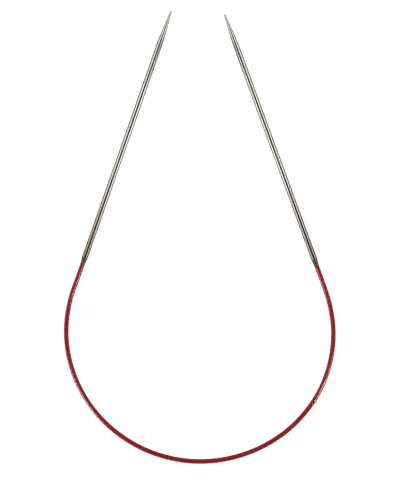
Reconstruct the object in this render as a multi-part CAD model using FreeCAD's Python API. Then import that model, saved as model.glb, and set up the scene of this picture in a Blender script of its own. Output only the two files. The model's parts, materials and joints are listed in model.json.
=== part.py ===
import FreeCAD, Part
import math
import os

# Fixed circular knitting needle: two steel needle tips joined by a coated steel cable.
# It lies on the plane z = 0, with the tips towards +Y and the cable's loop towards -Y.
# Each tip has a local axis +Z that starts at the mouth of its join cone and runs to the point.
# Millimetres and degrees throughout.

Vector = FreeCAD.Vector

# Needle tips
SHAFT_DIAMETER = 2.25
TIP_LENGTH = 99.05
TAPER_LENGTH = 12.0
NOSE_RADIUS = 0.38
SHOULDER_BLEND = 2.0
REAR_BORE_DIAMETER = 1.70
REAR_BORE_DEPTH = 12.0
DRILL_POINT_ANGLE = 118.0

# Where each tip lies: the centre of its cone mouth, and its lean towards the other tip
LEFT_MOUTH = Vector(-43.30, -45.89, SHAFT_DIAMETER / 2)
LEFT_LEAN = 19.3
RIGHT_MOUTH = Vector(43.20, -46.71, SHAFT_DIAMETER / 2)
RIGHT_LEAN = 20.1

# Join cones
CONE_LENGTH = 2.7
CONE_MOUTH_DIAMETER = 1.80
CONE_LIP_LENGTH = 0.8
JACKET_SOCKET_DIAMETER = 1.73
JACKET_SOCKET_DEPTH = 2.32
SPIGOT_LENGTH = 3.0
SPIGOT_CHAMFER = 0.12

# Core crimps, swaged in rings
CRIMP_START = 6.4
CRIMP_LENGTH = 6.0
CRIMP_DIAMETER = 1.66
SWAGE_RINGS = 3
SWAGE_WIDTH = 0.8
SWAGE_DEPTH = 0.06

# Cable: a jacket over a core of six strands round a centre strand. The jacket is flush with the
# cones' mouths, and its ends are thinner where they enter the sockets.
JACKET_DIAMETER = 1.80
JACKET_BORE_DIAMETER = 1.10
JACKET_END_DIAMETER = 1.70
JACKET_END_DEPTH = 2.3
JACKET_STEP_GAP = 0.02
STRAND_DIAMETER = 0.34
STRAND_CLEARANCE = 0.02
OUTER_STRANDS = 6
CORE_END_DEPTH = 12.9

# The cable's centreline between the points that lie on the two tips' axes
FREE_ROUTE = [
    Vector(-48.2, -59.35, 1.06),
    Vector(-49.65, -70.65, 0.96),
    Vector(-48.15, -82.15, 0.90),
    Vector(-43.65, -93.45, 0.90),
    Vector(-36.3, -103.35, 0.90),
    Vector(-26.5, -111.25, 0.90),
    Vector(-15.2, -116.5, 0.90),
    Vector(-2.5, -118.9, 0.90),
    Vector(10.55, -117.85, 0.90),
    Vector(22.95, -113.55, 0.90),
    Vector(33.75, -106.4, 0.90),
    Vector(42.55, -96.2, 0.90),
    Vector(47.75, -84.65, 0.90),
    Vector(49.65, -72.3, 0.96),
    Vector(48.25, -60.85, 1.06),
]
STRAIGHT_EXIT = 4.4
ARC_SHARE = 0.45

SHAFT_RADIUS = SHAFT_DIAMETER / 2
STRAND_PITCH_RADIUS = STRAND_DIAMETER + STRAND_CLEARANCE


def tip_direction(lean):
    """Direction from the cone mouth to the point of a tip that leans by this angle towards +X."""
    angle = math.radians(lean)
    return Vector(math.sin(angle), math.cos(angle), 0)


LEFT_DIRECTION = tip_direction(LEFT_LEAN)
RIGHT_DIRECTION = tip_direction(-RIGHT_LEAN)
SIDES = [("left", LEFT_MOUTH, LEFT_DIRECTION), ("right", RIGHT_MOUTH, RIGHT_DIRECTION)]


def revolved(edges):
    """Solid of revolution about the local +Z axis from a closed outline in the XZ plane."""
    outline = Part.Face(Part.Wire(edges))
    return outline.revolve(Vector(0, 0, 0), Vector(0, 0, 1), 360)


def outline_point(radius, height):
    return Vector(radius, 0, height)


def straight_edges(points):
    """Straight edges through the points of an open outline."""
    return [Part.LineSegment(a, b).toShape() for a, b in zip(points, points[1:])]


def needle_tip():
    """Round shaft with a long taper to a rounded point and a blind bore in its rear end."""
    taper_run = TAPER_LENGTH - NOSE_RADIUS
    reach = math.hypot(SHAFT_RADIUS, taper_run)
    half_angle = math.acos(NOSE_RADIUS / reach) - math.atan2(taper_run, SHAFT_RADIUS)
    sine = math.sin(half_angle)
    cosine = math.cos(half_angle)

    nose_centre = TIP_LENGTH - NOSE_RADIUS
    nose_top = outline_point(0, TIP_LENGTH)
    nose_end = outline_point(NOSE_RADIUS * cosine, nose_centre + NOSE_RADIUS * sine)
    nose_middle_angle = (math.pi / 2 + half_angle) / 2
    nose_middle = outline_point(
        NOSE_RADIUS * math.cos(nose_middle_angle),
        nose_centre + NOSE_RADIUS * math.sin(nose_middle_angle),
    )

    corner = TIP_LENGTH - TAPER_LENGTH
    blend_radius = SHOULDER_BLEND / math.tan(half_angle / 2)
    blend_start = outline_point(SHAFT_RADIUS - SHOULDER_BLEND * sine, corner + SHOULDER_BLEND * cosine)
    blend_end = outline_point(SHAFT_RADIUS, corner - SHOULDER_BLEND)
    blend_middle = outline_point(
        SHAFT_RADIUS - blend_radius * (1 - math.cos(half_angle / 2)),
        corner - SHOULDER_BLEND + blend_radius * math.sin(half_angle / 2),
    )

    bore_radius = REAR_BORE_DIAMETER / 2
    bore_end = CONE_LENGTH + REAR_BORE_DEPTH
    drill_tip = bore_end + bore_radius / math.tan(math.radians(DRILL_POINT_ANGLE / 2))

    edges = [
        Part.Arc(nose_top, nose_middle, nose_end).toShape(),
        Part.LineSegment(nose_end, blend_start).toShape(),
        Part.Arc(blend_start, blend_middle, blend_end).toShape(),
    ]
    edges += straight_edges([
        blend_end,
        outline_point(SHAFT_RADIUS, CONE_LENGTH),
        outline_point(bore_radius, CONE_LENGTH),
        outline_point(bore_radius, bore_end),
        outline_point(0, drill_tip),
        nose_top,
    ])
    return revolved(edges)


def join_cone():
    """Cone that carries the shaft's width down to the cable's, with a spigot for the shaft's bore."""
    spigot_radius = REAR_BORE_DIAMETER / 2
    spigot_end = CONE_LENGTH + SPIGOT_LENGTH
    core_hole_radius = JACKET_BORE_DIAMETER / 2
    socket_radius = JACKET_SOCKET_DIAMETER / 2
    corners = [
        outline_point(socket_radius, 0),
        outline_point(CONE_MOUTH_DIAMETER / 2, 0),
        outline_point(CONE_MOUTH_DIAMETER / 2, CONE_LIP_LENGTH),
        outline_point(SHAFT_RADIUS, CONE_LENGTH),
        outline_point(spigot_radius, CONE_LENGTH),
        outline_point(spigot_radius, spigot_end - SPIGOT_CHAMFER),
        outline_point(spigot_radius - SPIGOT_CHAMFER, spigot_end),
        outline_point(core_hole_radius, spigot_end),
        outline_point(core_hole_radius, JACKET_SOCKET_DEPTH),
        outline_point(socket_radius, JACKET_SOCKET_DEPTH),
        outline_point(socket_radius, 0),
    ]
    return revolved(straight_edges(corners))


def core_crimp():
    """Sleeve round the bare core, with shallow rings where it is swaged."""
    sleeve_radius = CRIMP_DIAMETER / 2
    hole_radius = JACKET_BORE_DIAMETER / 2
    crimp_end = CRIMP_START + CRIMP_LENGTH
    corners = [
        outline_point(hole_radius, CRIMP_START),
        outline_point(sleeve_radius, CRIMP_START),
    ]
    ring_pitch = CRIMP_LENGTH / SWAGE_RINGS
    for ring in range(SWAGE_RINGS):
        middle = CRIMP_START + (ring + 0.5) * ring_pitch
        corners += [
            outline_point(sleeve_radius, middle - SWAGE_WIDTH / 2 - SWAGE_DEPTH),
            outline_point(sleeve_radius - SWAGE_DEPTH, middle - SWAGE_WIDTH / 2),
            outline_point(sleeve_radius - SWAGE_DEPTH, middle + SWAGE_WIDTH / 2),
            outline_point(sleeve_radius, middle + SWAGE_WIDTH / 2 + SWAGE_DEPTH),
        ]
    corners += [
        outline_point(sleeve_radius, crimp_end),
        outline_point(hole_radius, crimp_end),
        outline_point(hole_radius, CRIMP_START),
    ]
    return revolved(straight_edges(corners))


def place_on_tip(shape, mouth, direction):
    """Move a shape from its local axis to the axis of one needle tip."""
    placed = shape.copy()
    placed.Placement = FreeCAD.Placement(mouth, FreeCAD.Rotation(Vector(0, 0, 1), direction))
    return placed


def cable_points(end_depth):
    """Points of the cable's centreline, from this depth in one join to the same depth in the other."""
    return (
        [LEFT_MOUTH + LEFT_DIRECTION * end_depth, LEFT_MOUTH - LEFT_DIRECTION * STRAIGHT_EXIT]
        + FREE_ROUTE
        + [RIGHT_MOUTH - RIGHT_DIRECTION * STRAIGHT_EXIT, RIGHT_MOUTH + RIGHT_DIRECTION * end_depth]
    )


def bend_radii():
    """Radius of the arc at each inner point, from the runs of the jacket's route and the turn."""
    points = cable_points(JACKET_END_DEPTH)
    radii = []
    for before, point, after in zip(points, points[1:], points[2:]):
        run_in = point - before
        run_out = after - point
        turn = run_in.getAngle(run_out)
        radii.append(ARC_SHARE * min(run_in.Length, run_out.Length) / math.tan(turn / 2))
    return radii


def cable_path(end_depth):
    """Straight runs joined by tangent arcs."""
    points = cable_points(end_depth)
    edges = []
    run_start = points[0]
    for before, point, after, radius in zip(points, points[1:], points[2:], bend_radii()):
        into = (point - before).normalize()
        out = (after - point).normalize()
        half_turn = into.getAngle(out) / 2
        cut = radius * math.tan(half_turn)
        arc_start = point - into * cut
        arc_end = point + out * cut
        inward = (out - into).normalize()
        arc_middle = point + inward * (radius / math.cos(half_turn) - radius)
        edges.append(Part.LineSegment(run_start, arc_start).toShape())
        edges.append(Part.Arc(arc_start, arc_middle, arc_end).toShape())
        run_start = arc_end
    edges.append(Part.LineSegment(run_start, points[-1]).toShape())
    return Part.Wire(edges)


def rod_along_cable(diameter, end_depth, offset):
    """Round rod swept along the cable, its centre moved off the cable's axis by a sideways offset."""
    path = cable_path(end_depth)
    start = LEFT_MOUTH + LEFT_DIRECTION * end_depth + offset
    circle = Part.Circle(start, LEFT_DIRECTION, diameter / 2).toShape()
    return path.makePipeShell([Part.Wire(circle)], True, False)


def jacket_end_ring():
    """What is taken off one end of the jacket, from just outside the cone's mouth inwards."""
    inner_radius = JACKET_END_DIAMETER / 2
    far_end = JACKET_END_DEPTH + 1
    return revolved(straight_edges([
        outline_point(inner_radius, -JACKET_STEP_GAP),
        outline_point(JACKET_DIAMETER, -JACKET_STEP_GAP),
        outline_point(JACKET_DIAMETER, far_end),
        outline_point(inner_radius, far_end),
        outline_point(inner_radius, -JACKET_STEP_GAP),
    ]))


def cable_jacket():
    """Round tube over the core, from socket to socket, with thinner ends."""
    outside = rod_along_cable(JACKET_DIAMETER, JACKET_END_DEPTH, Vector(0, 0, 0))
    inside = rod_along_cable(JACKET_BORE_DIAMETER, JACKET_END_DEPTH, Vector(0, 0, 0))
    jacket = outside.cut(inside)
    for side, mouth, direction in SIDES:
        jacket = jacket.cut(place_on_tip(jacket_end_ring(), mouth, direction))
    return jacket


def outer_strand(index):
    """One of the strands round the centre strand, run side by side with the cable's axis."""
    angle = 2 * math.pi * index / OUTER_STRANDS
    sideways = Vector(0, 0, 1).cross(LEFT_DIRECTION)
    offset = (sideways * math.cos(angle) + Vector(0, 0, 1) * math.sin(angle)) * STRAND_PITCH_RADIUS
    return rod_along_cable(STRAND_DIAMETER, CORE_END_DEPTH, offset)


def centre_strand():
    return rod_along_cable(STRAND_DIAMETER, CORE_END_DEPTH, Vector(0, 0, 0))


def all_parts():
    """Every piece, by node name."""
    parts = {}
    for side, mouth, direction in SIDES:
        parts[side + "_needle_tip"] = place_on_tip(needle_tip(), mouth, direction)
        parts[side + "_join_cone"] = place_on_tip(join_cone(), mouth, direction)
        parts[side + "_core_crimp"] = place_on_tip(core_crimp(), mouth, direction)
    parts["cable_jacket"] = cable_jacket()
    for index in range(OUTER_STRANDS):
        parts["cable_strand_%d" % (index + 1)] = outer_strand(index)
    parts["cable_centre_strand"] = centre_strand()
    return parts


def print_cable_facts(parts):
    """Bend radii, and each cable solid's volume against its section times its length."""
    print("bend radii, mm:", [round(radius, 1) for radius in bend_radii()])
    jacket_length = cable_path(JACKET_END_DEPTH).Length
    core_length = cable_path(CORE_END_DEPTH).Length
    print("jacket length %.2f, core length %.2f" % (jacket_length, core_length))
    jacket_section = math.pi / 4 * (JACKET_DIAMETER ** 2 - JACKET_BORE_DIAMETER ** 2)
    strand_section = math.pi / 4 * STRAND_DIAMETER ** 2
    for name, shape in parts.items():
        if name == "cable_jacket":
            print(name, "volume ratio %.4f" % (shape.Volume / (jacket_section * jacket_length)))
        elif name.startswith("cable_"):
            print(name, "volume ratio %.4f" % (shape.Volume / (strand_section * core_length)))


def main():
    os.makedirs("parts", exist_ok=True)
    parts = all_parts()
    for name, shape in parts.items():
        print("%-20s valid %s, solids %d, volume %.3f" % (
            name, shape.isValid(), len(shape.Solids), shape.Volume))
        shape.exportStep("parts/%s.step" % name)
    print_cable_facts(parts)


main()
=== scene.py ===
import json
import math
import bpy
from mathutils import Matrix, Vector


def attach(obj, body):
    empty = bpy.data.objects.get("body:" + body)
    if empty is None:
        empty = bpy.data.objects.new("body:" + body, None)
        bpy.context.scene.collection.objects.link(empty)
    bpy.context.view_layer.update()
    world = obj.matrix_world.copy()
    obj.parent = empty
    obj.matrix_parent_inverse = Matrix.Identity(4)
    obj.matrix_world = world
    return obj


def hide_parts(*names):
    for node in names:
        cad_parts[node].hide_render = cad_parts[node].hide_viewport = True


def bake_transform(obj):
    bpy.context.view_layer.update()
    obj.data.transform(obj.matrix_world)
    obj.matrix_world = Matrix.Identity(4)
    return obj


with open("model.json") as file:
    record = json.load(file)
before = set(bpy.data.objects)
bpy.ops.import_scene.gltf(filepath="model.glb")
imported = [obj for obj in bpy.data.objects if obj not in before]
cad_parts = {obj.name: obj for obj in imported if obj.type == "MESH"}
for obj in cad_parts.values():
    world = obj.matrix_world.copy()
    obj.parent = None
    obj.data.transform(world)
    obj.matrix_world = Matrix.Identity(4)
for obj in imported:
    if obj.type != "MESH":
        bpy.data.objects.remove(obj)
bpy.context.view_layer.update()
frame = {"nodes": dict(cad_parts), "record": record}

# A fixed circular knitting needle, laid flat: two polished needle tips, each with a dark join
# cone, and a red coated steel cable between them. Lengths are in metres.

MM = 0.001
UP = Vector((0, 0, 1))
LEFT_BODY = "left_tip_and_cable"
RIGHT_BODY = "right_tip"
MOUNTS = {mount["name"]: mount for mount in frame["record"]["mounts"]}

# Needle tips
NOSE_RADIUS = 0.38 * MM
SHOULDER_BLEND = 2.0 * MM
REAR_RIM = 0.04 * MM
REAR_BORE_DEPTH = 12.0 * MM
BORE_CONE_DEPTH = 0.5 * MM
LATHE_SIDES = 96

# Join cones
CONE_LIP_LENGTH = 0.8 * MM
LIP_CHAMFER = 0.01 * MM
SOCKET_CLEARANCE = 0.015 * MM
SOCKET_END_PLAY = 0.02 * MM

# Cable
JACKET_RADIUS = 0.90 * MM
JACKET_BORE_RADIUS = 0.55 * MM
JACKET_END_RADIUS = 0.85 * MM
JACKET_END_DEPTH = 2.3 * MM
JACKET_NECK = 0.12 * MM
STRAIGHT_EXIT = 4.4 * MM
STRAND_RADIUS = 0.17 * MM
STRAND_PITCH_RADIUS = 0.36 * MM
OUTER_STRANDS = 6
STRAND_LAY = 10.0 * MM
CORE_END_DEPTH = 12.9 * MM
RIDGE_HEIGHT = 0.010 * MM
JACKET_STEP = 0.24 * MM
JACKET_SIDES = 40
BORE_RING_SPACING = 4      # outer rings to one ring of the jacket's bore
CORE_STEP = 0.35 * MM
STRAND_SIDES = 10

# The cable's route between the points that lie on the two tips' axes
FREE_ROUTE = [
    (-0.04820, -0.05935, 0.00106),
    (-0.04965, -0.07065, 0.00096),
    (-0.04815, -0.08215, 0.00090),
    (-0.04365, -0.09345, 0.00090),
    (-0.03630, -0.10335, 0.00090),
    (-0.02650, -0.11125, 0.00090),
    (-0.01520, -0.11650, 0.00090),
    (-0.00250, -0.11890, 0.00090),
    (0.01055, -0.11785, 0.00090),
    (0.02295, -0.11355, 0.00090),
    (0.03375, -0.10640, 0.00090),
    (0.04255, -0.09620, 0.00090),
    (0.04775, -0.08465, 0.00090),
    (0.04965, -0.07230, 0.00096),
    (0.04825, -0.06085, 0.00106),
]
ROUTE_RESOLUTION = 60


class Tip:
    """Where one needle tip lies: its axis from join to point, and how far its pieces reach."""

    def __init__(self, side):
        mount = MOUNTS[side + "_shaft"]
        self.side = side
        self.axis = Vector(mount["axis"]).normalized()
        self.anchor = Vector(mount["pos_m"])
        self.radius = mount["dims"]["r_mm"] * MM
        cone_low, cone_high = self.reach(side + "_join_cone")
        tip_low, tip_high = self.reach(side + "_needle_tip")
        self.mouth = self.anchor + self.axis * cone_low
        self.cone_length = tip_low - cone_low
        self.spigot_end = cone_high - cone_low
        self.length = tip_high - cone_low
        self.shaft_end = mount["dims"]["length_mm"] * MM / 2 - cone_low

    def reach(self, node):
        """Lowest and highest place of a node along the tip's axis, from the mount's middle."""
        vertices = frame["nodes"][node].data.vertices
        heights = [(vertex.co - self.anchor).dot(self.axis) for vertex in vertices]
        return min(heights), max(heights)

    def width_at(self, node, height, slack=0.05 * MM):
        """Largest radius of a node's points near this height above the cone's mouth."""
        radii = []
        for vertex in frame["nodes"][node].data.vertices:
            offset = vertex.co - self.mouth
            along = offset.dot(self.axis)
            if abs(along - height) < slack:
                radii.append((offset - self.axis * along).length)
        return max(radii)

    def spigot_radius(self):
        """Radius of the cone's spigot, and of the bore that it fills."""
        return self.width_at(self.side + "_join_cone", self.spigot_end - 0.5 * MM, 0.5 * MM)


LEFT = Tip("left")
RIGHT = Tip("right")


# ---------------------------------------------------------------- camera

VIEW_CENTRE = Vector((0.055 * MM, -36.86 * MM, 1.1 * MM))
VIEW_HEIGHT = 0.1770
CAMERA_DISTANCE = 0.75
SENSOR = 36.0


def make_camera():
    """Looks straight down on the needle, with the points at the top."""
    data = bpy.data.cameras.new("camera")
    data.sensor_width = SENSOR
    data.lens = SENSOR * CAMERA_DISTANCE / VIEW_HEIGHT
    data.clip_start = 0.01
    data.clip_end = 20
    camera = bpy.data.objects.new("camera", data)
    camera.location = VIEW_CENTRE + UP * CAMERA_DISTANCE
    bpy.context.collection.objects.link(camera)
    bpy.context.scene.camera = camera


# ---------------------------------------------------------------- cable route

def make_route():
    """NURBS line through the cable's route, from one cone's socket to the other's."""
    points = [
        LEFT.mouth + LEFT.axis * JACKET_END_DEPTH,
        LEFT.mouth - LEFT.axis * STRAIGHT_EXIT,
    ]
    points += [Vector(point) for point in FREE_ROUTE]
    points += [
        RIGHT.mouth - RIGHT.axis * STRAIGHT_EXIT,
        RIGHT.mouth + RIGHT.axis * JACKET_END_DEPTH,
    ]
    curve = bpy.data.curves.new("cable_route", "CURVE")
    curve.dimensions = "3D"
    spline = curve.splines.new("NURBS")
    spline.points.add(len(points) - 1)
    for spline_point, point in zip(spline.points, points):
        spline_point.co = (*point, 1)
    spline.order_u = 3
    spline.use_endpoint_u = True
    spline.resolution_u = ROUTE_RESOLUTION
    return bpy.data.objects.new("cable_route", curve)


def route_points():
    """Points close together along the route's own smooth line."""
    route = make_route()
    bpy.context.collection.objects.link(route)
    mesh = bpy.data.meshes.new_from_object(route)
    points = [vertex.co.copy() for vertex in mesh.vertices]
    bpy.data.meshes.remove(mesh)
    bpy.data.objects.remove(route)
    return points


def line_length(points):
    """Length along a line of points."""
    return sum((b - a).length for a, b in zip(points, points[1:]))


def resampled(points, step):
    """The same line with its points evenly spaced, about a step apart."""
    total = line_length(points)
    count = max(2, round(total / step))
    result = [points[0]]
    walked = 0.0
    target = total / count
    for a, b in zip(points, points[1:]):
        piece = (b - a).length
        while len(result) < count and walked + piece >= target * len(result):
            share = (target * len(result) - walked) / piece
            result.append(a.lerp(b, share))
        walked += piece
    result.append(points[-1])
    return result


def frames(points):
    """For each point of a nearly level line: distance along it, side vector and up vector."""
    result = []
    distance = 0.0
    last = len(points) - 1
    for i, point in enumerate(points):
        if i:
            distance += (point - points[i - 1]).length
        tangent = (points[min(i + 1, last)] - points[max(i - 1, 0)]).normalized()
        side = tangent.cross(UP).normalized()
        result.append((distance, side, side.cross(tangent)))
    return result


# ---------------------------------------------------------------- mesh building

def mesh_object(name, vertices, faces, uvs=None, sharp_edges=()):
    """Smooth mesh object; uvs has one (around, along) pair in millimetres per face corner."""
    mesh = bpy.data.meshes.new(name)
    mesh.from_pydata(vertices, [], faces)
    mesh.polygons.foreach_set("use_smooth", [True] * len(mesh.polygons))
    if uvs:
        layer = mesh.uv_layers.new(name="surface_mm")
        layer.data.foreach_set("uv", [value for uv in uvs for value in uv])
    if sharp_edges:
        keys = {tuple(sorted(edge)) for edge in sharp_edges}
        for edge in mesh.edges:
            edge.use_edge_sharp = tuple(sorted(edge.vertices)) in keys
    mesh.validate()
    mesh.update()
    obj = bpy.data.objects.new(name, mesh)
    bpy.context.collection.objects.link(obj)
    return obj


def ring_faces(lower, upper, sides, flip=False):
    """Quads between two rings of vertices, facing outward if the upper ring is further along."""
    faces = []
    for i in range(sides):
        j = (i + 1) % sides
        face = (lower + i, upper + i, upper + j, lower + j)
        faces.append(face[::-1] if flip else face)
    return faces


def ring_uvs(around, low, high, sides, flip=False):
    """Face corner coordinates for the quads of ring_faces."""
    uvs = []
    for i in range(sides):
        left = around * i / sides
        right = around * (i + 1) / sides
        corners = [(left, low), (left, high), (right, high), (right, low)]
        uvs += corners[::-1] if flip else corners
    return uvs


def tube_vertices(points, radius, sides, relief=None):
    """Rings of vertices round a line."""
    vertices = []
    for point, (distance, side, up) in zip(points, frames(points)):
        for i in range(sides):
            angle = 2 * math.pi * i / sides
            reach = radius + (relief(distance, angle) if relief else 0.0)
            vertices.append(point + (side * math.cos(angle) + up * math.sin(angle)) * reach)
    return vertices


def solid_rod(name, points, radius, sides):
    """Round rod along a line, closed at both ends."""
    vertices = tube_vertices(points, radius, sides)
    stations = [item[0] / MM for item in frames(points)]
    around = 2 * math.pi * radius / MM
    faces = []
    uvs = []
    for k in range(len(points) - 1):
        faces += ring_faces(k * sides, (k + 1) * sides, sides)
        uvs += ring_uvs(around, stations[k], stations[k + 1], sides)
    last = (len(points) - 1) * sides
    faces.append(tuple(range(sides)))
    faces.append(tuple(range(last, last + sides))[::-1])
    uvs += [(0.0, 0.0)] * (2 * sides)
    return mesh_object(name, vertices, faces, uvs)


def hollow_tube(name, points, outer_radius, inner_radius, sides, relief):
    """Tube with a bore, its ends closed by flat rings."""
    inner_points = points[::BORE_RING_SPACING]
    if inner_points[-1] != points[-1]:
        inner_points.append(points[-1])
    vertices = tube_vertices(points, outer_radius, sides, relief)
    inner_start = len(vertices)
    vertices += tube_vertices(inner_points, inner_radius, sides)
    stations = [item[0] / MM for item in frames(points)]
    around = 2 * math.pi * outer_radius / MM
    faces = []
    uvs = []
    for k in range(len(points) - 1):
        faces += ring_faces(k * sides, (k + 1) * sides, sides)
        uvs += ring_uvs(around, stations[k], stations[k + 1], sides)
    for k in range(len(inner_points) - 1):
        start = inner_start + k * sides
        faces += ring_faces(start, start + sides, sides, flip=True)
        uvs += ring_uvs(around, 0, 1, sides, flip=True)
    faces += ring_faces(0, inner_start, sides, flip=True)
    uvs += ring_uvs(around, 0, 1, sides, flip=True)
    outer_last = (len(points) - 1) * sides
    inner_last = inner_start + (len(inner_points) - 1) * sides
    faces += ring_faces(outer_last, inner_last, sides)
    uvs += ring_uvs(around, 0, 1, sides)
    return mesh_object(name, vertices, faces, uvs)


def lathed(name, tip, outline, closed):
    """Turned piece on a tip's axis from an outline of (radius, height above the mouth) points.

    An open outline starts and ends on the axis; a closed one goes round a hole.
    """
    across = tip.axis.cross(UP).normalized()
    vertices = []
    rings = []
    for radius, height in outline:
        rings.append(len(vertices))
        centre = tip.mouth + tip.axis * height
        if radius == 0:
            vertices.append(centre)
            continue
        for i in range(LATHE_SIDES):
            angle = 2 * math.pi * i / LATHE_SIDES
            vertices.append(centre + (across * math.cos(angle) + UP * math.sin(angle)) * radius)
    around = 2 * math.pi * tip.radius / MM
    faces = []
    uvs = []
    pairs = list(zip(range(len(outline)), range(1, len(outline))))
    if closed:
        pairs.append((len(outline) - 1, 0))
    for a, b in pairs:
        low = outline[a][1] / MM
        high = outline[b][1] / MM
        if outline[a][0] and outline[b][0]:
            faces += ring_faces(rings[a], rings[b], LATHE_SIDES)
            uvs += ring_uvs(around, low, high, LATHE_SIDES)
            continue
        for i in range(LATHE_SIDES):
            j = (i + 1) % LATHE_SIDES
            left = around * i / LATHE_SIDES
            right = around * (i + 1) / LATHE_SIDES
            if outline[b][0] == 0:
                faces.append((rings[a] + i, rings[b], rings[a] + j))
                uvs += [(left, low), (left, high), (right, low)]
            else:
                faces.append((rings[a], rings[b] + i, rings[b] + j))
                uvs += [(left, low), (left, high), (right, high)]
    return mesh_object(name, vertices, faces, uvs, sharp_rings(outline, rings, closed))


def sharp_rings(outline, rings, closed, limit=math.radians(25)):
    """Edges of the rings where the outline turns by more than the limit."""
    edges = []
    count = len(outline)
    for k in range(count):
        if outline[k][0] == 0 or (not closed and k in (0, count - 1)):
            continue
        before = Vector(outline[k - 1])
        here = Vector(outline[k])
        after = Vector(outline[(k + 1) % count])
        if (here - before).angle(after - here) > limit:
            for i in range(LATHE_SIDES):
                edges.append((rings[k] + i, rings[k] + (i + 1) % LATHE_SIDES))
    return edges


def arc(centre, radius, start, end, steps):
    """Points of an arc in the (radius, height) plane, angles from the radius direction."""
    points = []
    for i in range(steps + 1):
        angle = start + (end - start) * i / steps
        points.append((centre[0] + radius * math.cos(angle), centre[1] + radius * math.sin(angle)))
    return points


# ---------------------------------------------------------------- materials

class Nodes:
    """Short way to build a material and its node tree."""

    def __init__(self, name):
        self.material = bpy.data.materials.new(name)
        self.material.use_nodes = True
        self.tree = self.material.node_tree
        self.shader = self.tree.nodes["Principled BSDF"]

    def add(self, kind, **values):
        """New node with its properties set."""
        node = self.tree.nodes.new(kind)
        for key, value in values.items():
            setattr(node, key, value)
        return node

    def link(self, source, target):
        self.tree.links.new(source, target)

    def surface(self, scale):
        """Coordinates on the piece's own surface in millimetres, stretched by (around, along)."""
        uv = self.add("ShaderNodeUVMap", uv_map="surface_mm")
        mapping = self.add("ShaderNodeMapping")
        mapping.inputs["Scale"].default_value = (scale[0], scale[1], 1)
        self.link(uv.outputs["UV"], mapping.inputs["Vector"])
        return mapping.outputs["Vector"]

    def noise(self, vector, scale, detail=3.0):
        """Noise pattern from 0 to 1, mostly near its middle."""
        noise = self.add("ShaderNodeTexNoise")
        noise.inputs["Scale"].default_value = scale
        noise.inputs["Detail"].default_value = detail
        self.link(vector, noise.inputs["Vector"])
        return noise.outputs["Fac"]

    def ranged(self, value, low, high, start=0.3, end=0.7):
        """Maps a value between start and end to low and high."""
        node = self.add("ShaderNodeMapRange")
        node.inputs["From Min"].default_value = start
        node.inputs["From Max"].default_value = end
        node.inputs["To Min"].default_value = low
        node.inputs["To Max"].default_value = high
        self.link(value, node.inputs["Value"])
        return node.outputs["Result"]

    def maths(self, operation, first, second=None):
        """Result of an operation on numbers or nodes' outputs."""
        node = self.add("ShaderNodeMath", operation=operation)
        for socket, value in zip(node.inputs, (first, second)):
            if isinstance(value, (int, float)):
                socket.default_value = value
            elif value is not None:
                self.link(value, socket)
        return node.outputs[0]

    def soft_step(self, value, start, end):
        """Rises from 0 at start to 1 at end, level at both."""
        node = self.add("ShaderNodeMapRange", interpolation_type="SMOOTHSTEP")
        node.inputs["From Min"].default_value = start
        node.inputs["From Max"].default_value = end
        self.link(value, node.inputs["Value"])
        return node.outputs["Result"]

    def blend(self, factor, first, second):
        """Colour between first and second, each a colour or a node's output."""
        node = self.add("ShaderNodeMix", data_type="RGBA")
        for name, colour in (("A_Color", first), ("B_Color", second)):
            socket = next(s for s in node.inputs if s.identifier == name)
            if isinstance(colour, tuple):
                socket.default_value = (*colour, 1)
            else:
                self.link(colour, socket)
        self.link(factor, node.inputs["Factor"])
        return next(s for s in node.outputs if s.identifier == "Result_Color")

    def bump(self, height, distance):
        """Surface relief of this depth in metres."""
        node = self.add("ShaderNodeBump")
        node.inputs["Distance"].default_value = distance
        self.link(height, node.inputs["Height"])
        return node.outputs["Normal"]

    def set(self, socket, value):
        """Fixed value on one of the shader's inputs."""
        self.shader.inputs[socket].default_value = value

    def feed(self, output, socket):
        """Node's output linked to one of the shader's inputs."""
        self.link(output, self.shader.inputs[socket])


class WorldNodes(Nodes):
    """The same helpers for a new world."""

    def __init__(self, name):
        world = bpy.data.worlds.new(name)
        world.use_nodes = True
        bpy.context.scene.world = world
        self.tree = world.node_tree
        self.shader = self.tree.nodes["Background"]


def polished_steel():
    """Bright stainless steel, with faint polishing lines and painted shade: its colour darkens
    towards the join.
    """
    nodes = Nodes("polished_steel")
    tone = nodes.noise(nodes.surface((0.5, 0.08)), 1.0)
    lines = nodes.noise(nodes.surface((14.0, 0.25)), 1.0, detail=4.0)
    smudges = nodes.noise(nodes.surface((0.6, 0.35)), 1.0, detail=2.0)
    unshaded_steel = nodes.blend(nodes.ranged(tone, 0, 1), (0.525, 0.503, 0.450), (0.585, 0.562, 0.503))
    # Painted shade: this darker steel colour near the join stands in for the weaker light there.
    painted_shade_steel = nodes.blend(nodes.ranged(tone, 0, 1), (0.231, 0.197, 0.177), (0.262, 0.224, 0.201))
    place = nodes.add("ShaderNodeSeparateXYZ")
    nodes.link(nodes.surface((1, 1)), place.inputs["Vector"])
    # The painted shade fades into the unshaded steel colour between 1 mm and 38 mm above the cone's
    # mouth.
    rise = nodes.ranged(place.outputs["Y"], 0.0, 1.0, start=1.0, end=38.0)
    nodes.feed(nodes.blend(rise, painted_shade_steel, unshaded_steel), "Base Color")
    nodes.feed(nodes.ranged(smudges, 0.10, 0.14), "Roughness")
    nodes.feed(nodes.bump(lines, 0.0003 * MM), "Normal")
    nodes.set("Metallic", 1.0)
    return nodes.material


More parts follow.
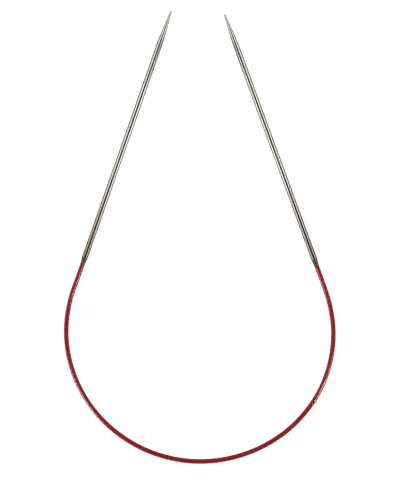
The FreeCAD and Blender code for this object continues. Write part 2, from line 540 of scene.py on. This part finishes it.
def dark_join_metal():
    """Dark grey turned metal with fine rings round it."""
    nodes = Nodes("dark_join_metal")
    mottle = nodes.noise(nodes.surface((1.4, 1.4)), 1.0)
    turning = nodes.noise(nodes.surface((0.3, 16.0)), 1.0, detail=2.0)
    tone = nodes.ranged(mottle, 0, 1)
    nodes.feed(nodes.blend(tone, (0.100, 0.076, 0.068), (0.145, 0.112, 0.100)), "Base Color")
    nodes.feed(nodes.ranged(turning, 0.34, 0.48), "Roughness")
    nodes.feed(nodes.bump(turning, 0.002 * MM), "Normal")
    nodes.set("Metallic", 0.8)
    return nodes.material


def red_nylon():
    """Glossy red coating, a little darker where the strands below it part."""
    nodes = Nodes("red_nylon")
    uv = nodes.add("ShaderNodeUVMap", uv_map="surface_mm")
    split = nodes.add("ShaderNodeSeparateXYZ")
    nodes.link(uv.outputs["UV"], split.inputs["Vector"])
    x, y, _ = split.outputs
    around = nodes.maths("MULTIPLY", x, OUTER_STRANDS / (JACKET_RADIUS / MM))
    along = nodes.maths("MULTIPLY", y, -2 * math.pi * OUTER_STRANDS / (STRAND_LAY / MM))
    wave = nodes.maths("COSINE", nodes.maths("ADD", around, along))
    stripes = nodes.ranged(wave, 0.0, 1.0, start=-1.0, end=1.0)
    nodes.feed(nodes.blend(stripes, (0.33, 0.015, 0.018), (0.40, 0.019, 0.023)), "Base Color")
    grain = nodes.noise(nodes.surface((3.0, 1.2)), 1.0)
    nodes.feed(nodes.ranged(grain, 0.10, 0.18), "Roughness")
    nodes.feed(nodes.bump(grain, 0.001 * MM), "Normal")
    nodes.set("Specular IOR Level", 0.5)
    nodes.set("Coat Weight", 0.5)
    nodes.set("Coat Roughness", 0.08)
    return nodes.material


def drawn_wire():
    """Steel strands with lines along them."""
    nodes = Nodes("drawn_wire")
    lines = nodes.noise(nodes.surface((20.0, 0.5)), 1.0, detail=2.0)
    tone = nodes.ranged(lines, 0, 1)
    nodes.feed(nodes.blend(tone, (0.40, 0.39, 0.37), (0.58, 0.56, 0.53)), "Base Color")
    nodes.feed(nodes.ranged(lines, 0.28, 0.42), "Roughness")
    nodes.feed(nodes.bump(lines, 0.004 * MM), "Normal")
    nodes.set("Metallic", 1.0)
    return nodes.material


def crimp_steel():
    """Plain pressed steel of the hidden sleeves, patterned by object position."""
    nodes = Nodes("crimp_steel")
    place = nodes.add("ShaderNodeTexCoord").outputs["Object"]
    mottle = nodes.noise(place, 2500.0)
    tone = nodes.ranged(mottle, 0, 1)
    nodes.feed(nodes.blend(tone, (0.36, 0.35, 0.33), (0.50, 0.49, 0.47)), "Base Color")
    nodes.feed(nodes.ranged(mottle, 0.3, 0.5), "Roughness")
    nodes.set("Metallic", 1.0)
    return nodes.material


def pale_floor():
    """White paper; it gives off most of its own brightness, so that it is evenly white."""
    nodes = Nodes("pale_floor")
    place = nodes.add("ShaderNodeTexCoord").outputs["Object"]
    fibre = nodes.noise(place, 60.0)
    tone = nodes.ranged(fibre, 0, 1)
    nodes.feed(nodes.blend(tone, (0.93, 0.93, 0.93), (0.95, 0.95, 0.95)), "Base Color")
    nodes.set("Roughness", 0.9)
    nodes.set("Specular IOR Level", 0.0)
    nodes.set("Emission Color", (1, 1, 1, 1))
    nodes.set("Emission Strength", 0.96)
    return nodes.material


# ---------------------------------------------------------------- pieces

def needle_outline(tip):
    """Half section of a needle tip from the rounded point back to the rear rim and the bore."""
    taper_run = tip.length - tip.shaft_end - SHOULDER_BLEND - NOSE_RADIUS
    reach = math.hypot(tip.radius, taper_run)
    half_angle = math.acos(NOSE_RADIUS / reach) - math.atan2(taper_run, tip.radius)
    nose_centre = tip.length - NOSE_RADIUS
    outline = arc((0, nose_centre), NOSE_RADIUS, math.pi / 2, half_angle, 10)
    outline[0] = (0, tip.length)
    blend_radius = SHOULDER_BLEND / math.tan(half_angle / 2)
    blend_centre = (tip.radius - blend_radius, tip.shaft_end)
    outline += arc(blend_centre, blend_radius, half_angle, 0, 10)
    rear = tip.cone_length
    bore = tip.spigot_radius()
    bore_end = rear + REAR_BORE_DEPTH
    outline += [
        (tip.radius, rear + REAR_RIM),
        (tip.radius - REAR_RIM, rear),
        (bore, rear),
        (bore, bore_end),
        (0, bore_end + BORE_CONE_DEPTH),
    ]
    return outline


def make_needle_tip(tip, body, material):
    """Tapered shaft with its rounded point and its bore."""
    piece = lathed(tip.side + "_needle", tip, needle_outline(tip)[::-1], closed=False)
    finish_piece(piece, body, material, tip.side + "_needle_tip")


def make_join_cone(tip, body, material):
    """Cone with a soft lip at the cable, a socket for the jacket and a spigot in the shaft."""
    node = tip.side + "_join_cone"
    mouth = tip.width_at(node, 0)
    socket = JACKET_END_RADIUS + SOCKET_CLEARANCE
    socket_end = JACKET_END_DEPTH + SOCKET_END_PLAY
    spigot = tip.spigot_radius()
    outline = [
        (socket, 0),
        (mouth - LIP_CHAMFER, 0),
        (mouth, LIP_CHAMFER),
        (mouth, CONE_LIP_LENGTH),
        (tip.radius - REAR_RIM / 2, tip.cone_length - REAR_RIM),
        (tip.radius - REAR_RIM, tip.cone_length),
        (spigot, tip.cone_length),
        (spigot, tip.spigot_end),
        (JACKET_BORE_RADIUS, tip.spigot_end),
        (JACKET_BORE_RADIUS, socket_end),
        (socket, socket_end),
    ]
    piece = lathed(tip.side + "_cone", tip, outline, closed=True)
    finish_piece(piece, body, material, node)


def finish_piece(piece, body, material, node):
    """Material, body and the CAD node that a rigid piece stands for."""
    piece.data.materials.append(material)
    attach(piece, body)
    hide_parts(node)


def jacket_relief(length):
    """How far the jacket's surface lies off its radius: thin ends, and ridges over the strands."""
    def relief(distance, angle):
        if min(distance, length - distance) < JACKET_END_DEPTH + JACKET_NECK:
            return JACKET_END_RADIUS - JACKET_RADIUS
        turn = angle - 2 * math.pi * distance / STRAND_LAY
        return RIDGE_HEIGHT * (math.cos(OUTER_STRANDS * turn) - 1)
    return relief


def bend_with_cable(piece):
    """Bakes the piece's placement into its mesh."""
    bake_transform(piece)


def make_cable(route):
    """Jacket over its strands, both along the cable's route."""
    jacket_line = resampled(route, JACKET_STEP)
    relief = jacket_relief(line_length(route))
    jacket = hollow_tube("cable_cover", jacket_line, JACKET_RADIUS, JACKET_BORE_RADIUS,
                         JACKET_SIDES, relief)
    jacket.data.materials.append(red_nylon())
    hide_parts("cable_jacket")
    bend_with_cable(jacket)
    make_core(route)


def make_core(route):
    """Six twisted strands round a straight one, running on from the jacket into both tips."""
    wire = drawn_wire()
    inside = CORE_END_DEPTH - JACKET_END_DEPTH
    line = [route[0] + LEFT.axis * inside] + route + [route[-1] + RIGHT.axis * inside]
    line = resampled(line, CORE_STEP)
    strands = []
    for number in range(1, OUTER_STRANDS + 1):
        start_angle = 2 * math.pi * (number - 1) / OUTER_STRANDS
        helix = twisted_line(line, start_angle)
        node = "cable_strand_%d" % number
        strands.append(make_strand("twisted_strand_%d" % number, helix, wire, node))
    strands.append(make_strand("straight_strand", line, wire, "cable_centre_strand"))
    return strands


def twisted_line(line, start_angle):
    """Line that winds round another one, a full turn for each lay of the strands."""
    points = []
    for point, (distance, side, up) in zip(line, frames(line)):
        angle = start_angle + 2 * math.pi * distance / STRAND_LAY
        outward = side * math.cos(angle) + up * math.sin(angle)
        points.append(point + outward * STRAND_PITCH_RADIUS)
    return points


def make_strand(name, line, material, node):
    """One wire along a line."""
    strand = solid_rod(name, line, STRAND_RADIUS, STRAND_SIDES)
    strand.data.materials.append(material)
    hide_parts(node)
    bend_with_cable(strand)
    return strand


def paint_crimps():
    """The hidden crimp sleeves keep their CAD shape and get a better surface."""
    material = crimp_steel()
    for side in ("left", "right"):
        for material_slot in frame["nodes"][side + "_core_crimp"].material_slots:
            material_slot.material = material


# ---------------------------------------------------------------- floor, lights and world

FLOOR_HALF_WIDTH = 3.0
STEEL_PIECES = ("left_needle", "right_needle", "left_cone", "right_cone")
CABLE_PIECES = ("cable_cover",)

# Bearings run from +X towards +Y, in degrees; sizes and distances are in metres
STEEL_LAMP_DISTANCE = 0.5
STEEL_LAMP_RADIANCE = 2.1
LOWER_LAMP_ELEVATION = 33
LOWER_LAMP_SIZE = (0.27, 0.34)
UPPER_LAMP_ELEVATION = 40
UPPER_LAMP_SIZE = (0.39, 0.25)
CABLE_LAMP_DISTANCE = 0.35
RIGHT_CABLE_AIM = Vector((0.046, -0.057, 0))
LEFT_CABLE_AIM = Vector((-0.046, -0.057, 0))
FILL_SIZE = 0.1
FILL_RADIANCE = 1.5
FILL_OFFSET = 0.055
FILL_HEIGHT = 0.16
FILL_Y = -0.03

# Brightness of the parts of the surroundings
GLOW_RADIANCE = 0.19
LOW_WALL_RADIANCE = 0.38
HIGH_WALL_RADIANCE = 0.10
ENDS_RADIANCE = 0.25


def make_floor():
    """White paper, which the needle's surfaces don't reflect."""
    half = FLOOR_HALF_WIDTH
    corners = [(-half, -half, 0), (half, -half, 0), (half, half, 0), (-half, half, 0)]
    floor = mesh_object("floor", corners, [(0, 1, 2, 3)])
    floor.data.materials.append(pale_floor())
    floor.visible_glossy = False


def area_lamp(name, size, radiance):
    """Rectangular area light of the given radiance, left out of the camera's direct view."""
    data = bpy.data.lights.new(name, "AREA")
    data.shape = "RECTANGLE"
    data.size, data.size_y = size
    data.energy = radiance * math.pi * size[0] * size[1]
    lamp = bpy.data.objects.new(name, data)
    lamp.visible_camera = False
    bpy.context.collection.objects.link(lamp)
    return lamp


def softbox(name, bearing, elevation, distance, size, radiance, lit, aim=VIEW_CENTRE):
    """Lamp aimed at one point, its first side level, for the pieces of one set."""
    lamp = area_lamp(name, size, radiance)
    a = math.radians(bearing)
    e = math.radians(elevation)
    away = Vector((math.cos(a) * math.cos(e), math.sin(a) * math.cos(e), math.sin(e)))
    lamp.location = aim + away * distance
    lamp.rotation_mode = "QUATERNION"
    lamp.rotation_quaternion = away.to_track_quat("Z", "Y")
    lamp.light_linking.receiver_collection = lit
    return lamp


def steel_softbox(name, bearing, elevation, size, lit):
    """Softbox for both tips and cones."""
    softbox(name, bearing, elevation, STEEL_LAMP_DISTANCE, size, STEEL_LAMP_RADIANCE, lit)


def cable_softbox(name, aim, bearing, elevation, size, beam, radiance, lit):
    """Softbox for one side of the loop; its grid keeps the light within beam degrees of the aim."""
    lamp = softbox(name, bearing, elevation, CABLE_LAMP_DISTANCE, size, radiance, lit, aim)
    half = math.radians(beam)
    lamp.data.spread = 2 * half
    lamp.data.energy *= 1 - half / math.tan(half)


def lit_set(name, pieces):
    """The only pieces that a lamp with this set lights."""
    collection = bpy.data.collections.new(name)
    for piece in pieces:
        collection.objects.link(bpy.data.objects[piece])
    return collection


def fill_light(name, x):
    """Matt light above one side of the cable; it leaves no highlight."""
    lamp = area_lamp(name, (FILL_SIZE, FILL_SIZE), FILL_RADIANCE)
    lamp.location = (x, FILL_Y, FILL_HEIGHT)
    lamp.visible_glossy = False


def make_lights():
    """Softboxes for the steel, softboxes for the cable, and a fill over each side."""
    steel = lit_set("lit_steel", STEEL_PIECES)
    steel_softbox("lower_right_softbox", -25, LOWER_LAMP_ELEVATION, LOWER_LAMP_SIZE, steel)
    steel_softbox("lower_left_softbox", 205, LOWER_LAMP_ELEVATION, LOWER_LAMP_SIZE, steel)
    steel_softbox("upper_right_softbox", 26, UPPER_LAMP_ELEVATION, UPPER_LAMP_SIZE, steel)
    steel_softbox("upper_left_softbox", 154, UPPER_LAMP_ELEVATION, UPPER_LAMP_SIZE, steel)
    cable = lit_set("lit_cable", CABLE_PIECES)
    cable_softbox("right_cable_softbox", RIGHT_CABLE_AIM, bearing=-29, elevation=41,
                  size=(0.13, 0.15), beam=12, radiance=27.0, lit=cable)
    cable_softbox("left_cable_softbox", LEFT_CABLE_AIM, bearing=213, elevation=27,
                  size=(0.22, 0.17), beam=17, radiance=20.0, lit=cable)
    fill_light("left_fill", -FILL_OFFSET)
    fill_light("right_fill", FILL_OFFSET)


def make_world():
    """Studio with pale walls on all sides, a narrow glow overhead and a dark ceiling round it.

    x, y and z are the direction looked in, as a vector of length 1.
    """
    nodes = WorldNodes("studio")
    split = nodes.add("ShaderNodeSeparateXYZ")
    nodes.link(nodes.add("ShaderNodeTexCoord").outputs["Generated"], split.inputs["Vector"])
    x, y, z = split.outputs
    glow = nodes.ranged(y, 0.0, GLOW_RADIANCE, start=0.0, end=0.10)
    glow = nodes.maths("MULTIPLY", glow, nodes.ranged(y, 1.0, 0.0, start=0.12, end=0.24))
    sides = nodes.soft_step(nodes.maths("ABSOLUTE", x), 0.25, 0.60)
    fade = nodes.ranged(z, LOW_WALL_RADIANCE, HIGH_WALL_RADIANCE, start=0.05, end=0.35)
    walls = nodes.maths("MULTIPLY", sides, fade)
    ends = nodes.soft_step(nodes.maths("ABSOLUTE", y), 0.45, 0.75)
    ends = nodes.maths("MULTIPLY", ends, ENDS_RADIANCE)
    radiance = nodes.maths("ADD", glow, nodes.maths("ADD", walls, ends))
    nodes.shader.inputs["Color"].default_value = (1, 1, 1, 1)
    nodes.feed(radiance, "Strength")


make_camera()
make_cable(route_points())
steel = polished_steel()
join_metal = dark_join_metal()
for one_tip, one_body in ((LEFT, LEFT_BODY), (RIGHT, RIGHT_BODY)):
    make_needle_tip(one_tip, one_body, steel)
    make_join_cone(one_tip, one_body, join_metal)
paint_crimps()
make_floor()
make_lights()
make_world()
bpy.context.scene.view_settings.view_transform = "Standard"
